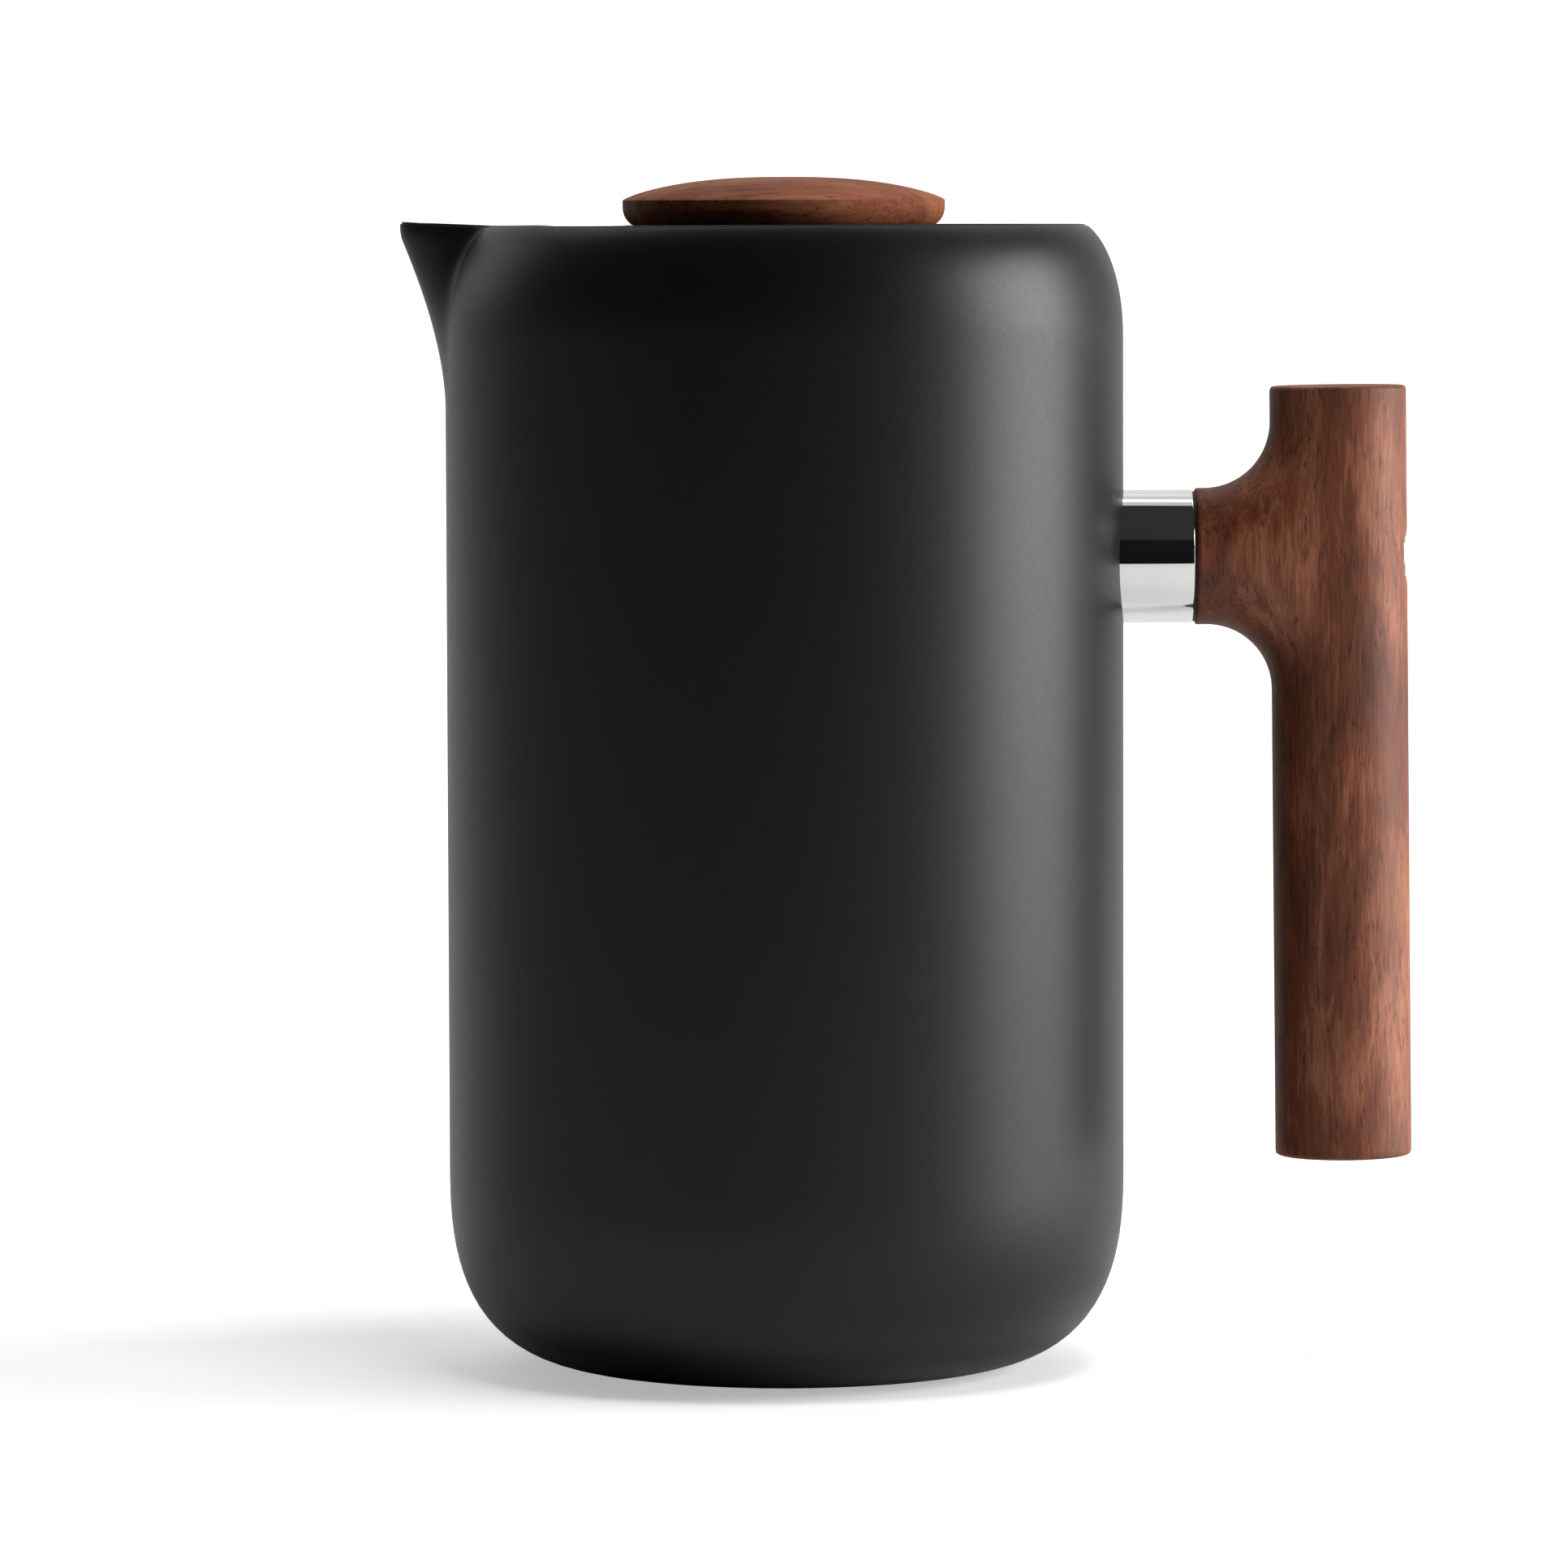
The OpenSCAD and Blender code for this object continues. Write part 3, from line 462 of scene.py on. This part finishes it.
def moulded(name, dark, light, roughness, depth=0.00005):
    """Moulded plastic or rubber: a fine skin, and a paler bloom where dust and fingers have been."""
    made, tree = surface(name, IOR=1.45)
    bloom = placed(tree, handled, {"Scale": 60.0})["Mask"]
    grain = placed(tree, skin, {"Scale": 2200.0})["Height"]
    tint = node(tree, "MixRGB", {"Fac": bloom, "Color1": (*dark, 1), "Color2": (*light, 1)})
    rough = node(tree, "MapRange", {"Value": bloom, "To Min": roughness * 0.85, "To Max": roughness * 1.15})
    bump = node(tree, "Bump", {"Height": grain, "Strength": 0.2, "Distance": depth})
    feed(tree, Base_Color=tint.outputs["Color"], Roughness=rough.outputs["Result"],
         Normal=bump.outputs["Normal"])
    return made


outline = [(0, 0)]
for share in groove_rings:
    outline += arc((pad_r * share, 0), groove_r, 180, 0, 8)
outline += arc((pad_r - pad_edge, pad_edge), pad_edge, -90, 0) + [(pad_r, pad_high.z), (0, pad_high.z)]
pad_silicone = moulded("pad_silicone", (0.020, 0.020, 0.020), (0.035, 0.034, 0.033), 0.62)
finished(turned(outline), "base_pad_disc", "pot", pad_silicone, ["base_pad"])

# ---------------------------------------------------------------- collar
# A threaded boss is welded to the shell. A mirror polished steel sleeve, closed at its outer end and
# cut to the pot's round at the other, stands over it. A thin black gasket lies against the wood.
collar_low, collar_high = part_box("handle_collar")
gasket_low, gasket_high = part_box("collar_gasket")
collar_z = (collar_low.z + collar_high.z) / 2
collar_r = (collar_high.z - collar_low.z) / 2
collar_end = collar_high.x
collar_wall = 2 * mm
collar_cap = 2.3 * mm
collar_edge = 0.25 * mm
screw_hole_r = 2.2 * mm
weld_gap = 0.02 * mm
gasket_r = (gasket_high.z - gasket_low.z) / 2

dress(metal("turned_boss", (0.55, 0.55, 0.57), 0.3), "handle_boss")


def turned_on_x(outline, height, steps=192):
    """A bmesh spun from an outline of (x, radius) points about a line along X at a height."""
    bm = bmesh.new()
    line = [bm.verts.new((x, 0, height + r)) for x, r in outline]
    edges = [bm.edges.new(pair) for pair in zip(line, line[1:])]
    bmesh.ops.spin(bm, geom=line + edges, cent=(0, 0, height), axis=(1, 0, 0), angle=2 * math.pi,
                   steps=steps, use_merge=True)
    return bm


bore_r = collar_r - collar_wall
outline = [(pot_r, bore_r), (pot_r, collar_r), (pot_r + collar_edge, collar_r)]
outline += [(x, r) for r, x in arc((collar_r - collar_edge, collar_end - collar_edge), collar_edge, 0, 90, 4)]
outline += [(collar_end, screw_hole_r), (collar_end - collar_cap, screw_hole_r),
            (collar_end - collar_cap, bore_r), (pot_r, bore_r)]
bm = turned_on_x(outline, collar_z)
for vert in bm.verts:
    if vert.co.x < pot_r + 2 * collar_edge:
        vert.co.x += math.sqrt(pot_r ** 2 - vert.co.y ** 2) - pot_r - weld_gap
mirror_steel = metal("mirror_steel", (0.90, 0.90, 0.90), 0.04, 0.03, 0.4, 0.000004)
finished(bm, "collar_sleeve", "pot", mirror_steel, ["handle_collar"])

outline = [(gasket_low.x, screw_hole_r), (gasket_low.x, gasket_r), (gasket_high.x, gasket_r),
           (gasket_high.x, screw_hole_r), (gasket_low.x, screw_hole_r)]
gasket_rubber = moulded("gasket_rubber", (0.012, 0.011, 0.010), (0.02, 0.019, 0.018), 0.6)
finished(turned_on_x(outline, collar_z), "collar_washer", "pot", gasket_rubber, ["collar_gasket"])

# ---------------------------------------------------------------- grip
# The grip is a T cut from one board of walnut with the grain along the bar, rounded over, sanded and
# oiled. A socket screw goes through it into the boss, and two dowels keep it from turning.
grip_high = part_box("handle_grip")[1]
grip_voxel = 0.36 * mm
smooth_passes = 2
pore_dark = (0.03, 0.009, 0.005, 1)
heart_line = (grip_high.x + 26 * mm, 30 * mm, 0)

# walnut: growth rings seen along their length, fibres and short open pores, with Z along the grain
walnut, entry, leave = effect(
    "walnut", {"Vector": None, "Dark": (0.075, 0.020, 0.009, 1), "Middle": (0.20, 0.064, 0.031, 1),
               "Light": (0.34, 0.12, 0.064, 1)}, {"Color": "Color", "Roughness": "Float", "Height": "Float"})


def streaks(across, along, detail, distortion=0.0):
    """Noise drawn out along the grain. across and along are in features per metre."""
    place = node(walnut, "Mapping", {"Vector": entry["Vector"], "Scale": (across, across, along)})
    return node(walnut, "TexNoise", {"Vector": place.outputs["Vector"], "Scale": 1.0, "Detail": detail,
                                     "Distortion": distortion}).outputs["Fac"]


def spread_out(value, low, high):
    return node(walnut, "MapRange", {"Value": value, "From Min": low, "From Max": high}).outputs["Result"]


def sum_of(first, share, second):
    return node(walnut, "Math", {0: first, 1: share, 2: second}, operation="MULTIPLY_ADD").outputs["Value"]


figure = spread_out(streaks(55, 20, 3.0, 1.4), 0.3, 0.7)
ring = spread_out(streaks(280, 46, 3.0, 2.0), 0.3, 0.7)
fibre = spread_out(streaks(2300, 220, 3.0, 0.8), 0.25, 0.75)
pore_line = spread_out(streaks(1900, 400, 1.0, 0.8), 0.56, 0.68)
pore_place = spread_out(streaks(300, 70, 2.0, 1.2), 0.40, 0.60)
pore = node(walnut, "Math", {0: pore_line, 1: pore_place}, operation="MULTIPLY").outputs["Value"]
broad = node(walnut, "Math", {0: figure, 1: 0.45}, operation="MULTIPLY").outputs["Value"]
tone = sum_of(ring, 0.20, sum_of(fibre, 0.35, broad))
low_tone = node(walnut, "MixRGB", {"Fac": spread_out(tone, 0.2, 0.5), "Color1": entry["Dark"],
                                   "Color2": entry["Middle"]})
high_tone = node(walnut, "MixRGB", {"Fac": spread_out(tone, 0.5, 0.85), "Color1": low_tone.outputs["Color"],
                                    "Color2": entry["Light"]})
pore_shade = node(walnut, "Math", {0: pore, 1: 0.6}, operation="MULTIPLY")
pored = node(walnut, "MixRGB", {"Fac": pore_shade.outputs["Value"], "Color1": high_tone.outputs["Color"],
                                "Color2": pore_dark})
rough = node(walnut, "MapRange", {"Value": fibre, "To Min": 0.52, "To Max": 0.68})
walnut.links.new(pored.outputs["Color"], leave["Color"])
walnut.links.new(rough.outputs["Result"], leave["Roughness"])
walnut.links.new(sum_of(pore, -1.0, fibre), leave["Height"])


def oiled_walnut(name, heart, turned_by, shine, dark, middle, light):
    """Walnut whose grain runs along Z before it is turned, laid out from the tree's heart."""
    made, tree = surface(name, Specular_IOR_Level=shine, IOR=1.5)
    moved = node(tree, "Mapping", {"Vector": object_place(tree), "Location": tuple(-c for c in heart)})
    laid = node(tree, "Mapping", {"Vector": moved.outputs["Vector"], "Rotation": turned_by})
    wood = placed(tree, walnut, {"Vector": laid.outputs["Vector"], "Dark": dark, "Middle": middle,
                                 "Light": light})
    bump = node(tree, "Bump", {"Height": wood["Height"], "Strength": 0.3, "Distance": 0.00007})
    feed(tree, Base_Color=wood["Color"], Roughness=wood["Roughness"], Normal=bump.outputs["Normal"])
    return made


grip_walnut = oiled_walnut("grip_walnut", heart_line, (0, 0, 0), 0.45, (0.082, 0.020, 0.008, 1),
                           (0.200, 0.054, 0.020, 1), (0.42, 0.155, 0.080, 1))
bm = bmesh.new()
bm.from_mesh(nodes["handle_grip"].data)
grip = finished(bm, "walnut_grip", "pot", grip_walnut, ["handle_grip"])
even = grip.modifiers.new("even", "REMESH")
even.mode = "VOXEL"
even.voxel_size = grip_voxel
bpy.context.view_layer.update()
sanded = bpy.data.meshes.new_from_object(grip.evaluated_get(bpy.context.evaluated_depsgraph_get()))
grip.modifiers.remove(even)
bm = bmesh.new()
bm.from_mesh(sanded)
for _ in range(smooth_passes):
    bmesh.ops.smooth_vert(bm, verts=bm.verts, factor=0.5, use_axis_x=True, use_axis_y=True, use_axis_z=True)
for face in bm.faces:
    face.smooth = True
bm.to_mesh(sanded)
bm.free()
grip.data = sanded
coat_with(grip, grip_walnut)

screw_steel = metal("screw_steel", (0.50, 0.50, 0.52), 0.28)
dress(screw_steel, "handle_screw", "screw_washer", "grip_dowel_1", "grip_dowel_2")

# ---------------------------------------------------------------- lid
# The lid's cover is a steel pressing with the pot's black coat, turned down over a moulded plastic
# frame. Coffee comes out through the frame's cage all round, and a silicone ring seals it below.
cover_low, cover_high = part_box("lid_cover")
guide_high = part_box("rod_guide")[1]
cover_sheet = 0.8 * mm
cover_r = cover_high.x
cover_top = cover_high.z
cover_round = 0.7 * mm
guide_r = 5.06 * mm
flange_t = 1.2 * mm
well_r = guide_high.x + 0.3 * mm
well_round = 0.3 * mm
flange_z = guide_high.z - flange_t
well_low = flange_z - cover_sheet
cover_under = cover_top - cover_sheet

outline = [(guide_r, well_low), (well_r + cover_sheet, well_low), (well_r + cover_sheet, cover_under),
           (cover_r - cover_sheet, cover_under), (cover_r - cover_sheet, cover_low.z), (cover_r, cover_low.z)]
outline += arc((cover_r - cover_round, cover_top - cover_round), cover_round, 0, 90)
outline += arc((well_r + well_round, cover_top - well_round), well_round, 90, 180, 4)
outline += [(well_r, flange_z), (guide_r, flange_z), (guide_r, well_low)]
finished(turned(outline, 192), "coated_cover", "lid", coat, ["lid_cover"])

silicone = moulded("grey_silicone", (0.045, 0.045, 0.047), (0.075, 0.075, 0.078), 0.55)
plate_steel = metal("stamped_steel", (0.60, 0.60, 0.61), 0.24)
guide_steel = metal("turned_steel", (0.62, 0.62, 0.63), 0.2)
dress(moulded("frame_plastic", (0.020, 0.020, 0.021), (0.032, 0.032, 0.032), 0.48), "lid_frame")
dress(silicone, "lid_gasket")
dress(plate_steel, "lid_strainer")
dress(guide_steel, "rod_guide")
dress(screw_steel, "guide_nut", "strainer_screw_1", "strainer_screw_2", "strainer_screw_3")

# ---------------------------------------------------------------- knob
# The knob is a flat walnut button, turned with a low dome and a rounded lower edge. A threaded brass
# insert is pressed into its underside. The grain runs from the spout to the handle.
knob_low, knob_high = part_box("knob")
knob_r = knob_high.x
knob_dome = 3.5 * mm
dome_swell, dome_fall = 2.4, 0.8
dome_steps = 28
dome_z = knob_high.z - knob_dome
knob_round, knob_tuck = 3.0 * mm, 2.6 * mm
insert_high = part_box("knob_insert")[1]
insert_hole_r = 4.2 * mm
insert_flange_r = insert_high.x
insert_flange_t = 1.0 * mm

outline = [(0, insert_high.z), (insert_hole_r, insert_high.z), (insert_hole_r, knob_low.z + insert_flange_t),
           (insert_flange_r, knob_low.z + insert_flange_t), (insert_flange_r, knob_low.z)]
outline += [(knob_r - knob_tuck + knob_tuck * math.sin(a), knob_low.z + knob_round * (1 - math.cos(a)))
            for a in (math.pi / 2 * i / 10 for i in range(11))]
outline += [(knob_r * u, dome_z + knob_dome * (1 - u ** dome_swell) ** dome_fall)
            for u in (math.cos(math.pi / 2 * i / dome_steps) for i in range(dome_steps))]
outline += [(0, knob_high.z)]
knob_walnut = oiled_walnut("knob_walnut", (0.2, 22 * mm, knob_low.z - 6 * mm), (0, math.pi / 2, 0), 0.08,
                           (0.13, 0.036, 0.016, 1), (0.29, 0.092, 0.042, 1), (0.42, 0.165, 0.088, 1))
finished(turned(outline, 160), "walnut_knob", "plunger", knob_walnut, ["knob"], crease=25)
dress(metal("insert_brass", (0.62, 0.44, 0.20), 0.25), "knob_insert")

# ---------------------------------------------------------------- plunger
# A ground steel rod carries the filter: a perforated plate, a woven mesh in a silicone wiper and a
# cross plate, all held against a collar on the rod by one nut.
wire_pitch = 0.35 * mm
# The first colour is painted shade for the gaps between the wires, the second is the pale steel of the wires.
wire_and_gap_shade_colours = ((0.14, 0.14, 0.14, 1), (0.55, 0.55, 0.56, 1))

dress(metal("ground_rod", (0.68, 0.68, 0.69), 0.1), "plunger_rod")
dress(guide_steel, "rod_collar")
dress(plate_steel, "top_plate", "cross_plate")
dress(silicone, "filter_wiper")
dress(screw_steel, "filter_nut")

woven_steel, tree = surface("woven_steel", Metallic=1.0)
place = object_place(tree)
wires = [node(tree, "TexWave", {"Vector": place, "Scale": math.pi / (10 * wire_pitch)},
              bands_direction=direction).outputs["Fac"] for direction in ("X", "Y")]
over = node(tree, "Math", {0: wires[0], 1: wires[1]}, operation="MAXIMUM").outputs["Value"]
# Pale steel on the wires, with painted shade in the gaps between them standing in for the open holes of the
# weave.
tint = node(tree, "MixRGB", {"Fac": over, "Color1": wire_and_gap_shade_colours[0], "Color2": wire_and_gap_shade_colours[1]})
rough = node(tree, "MapRange", {"Value": placed(tree, handled, {"Scale": 80.0})["Mask"], "To Min": 0.28,
                                "To Max": 0.42})
bump = node(tree, "Bump", {"Height": over, "Strength": 0.6, "Distance": 0.0001})
feed(tree, Base_Color=tint.outputs["Color"], Roughness=rough.outputs["Result"], Normal=bump.outputs["Normal"])
dress(woven_steel, "filter_mesh")
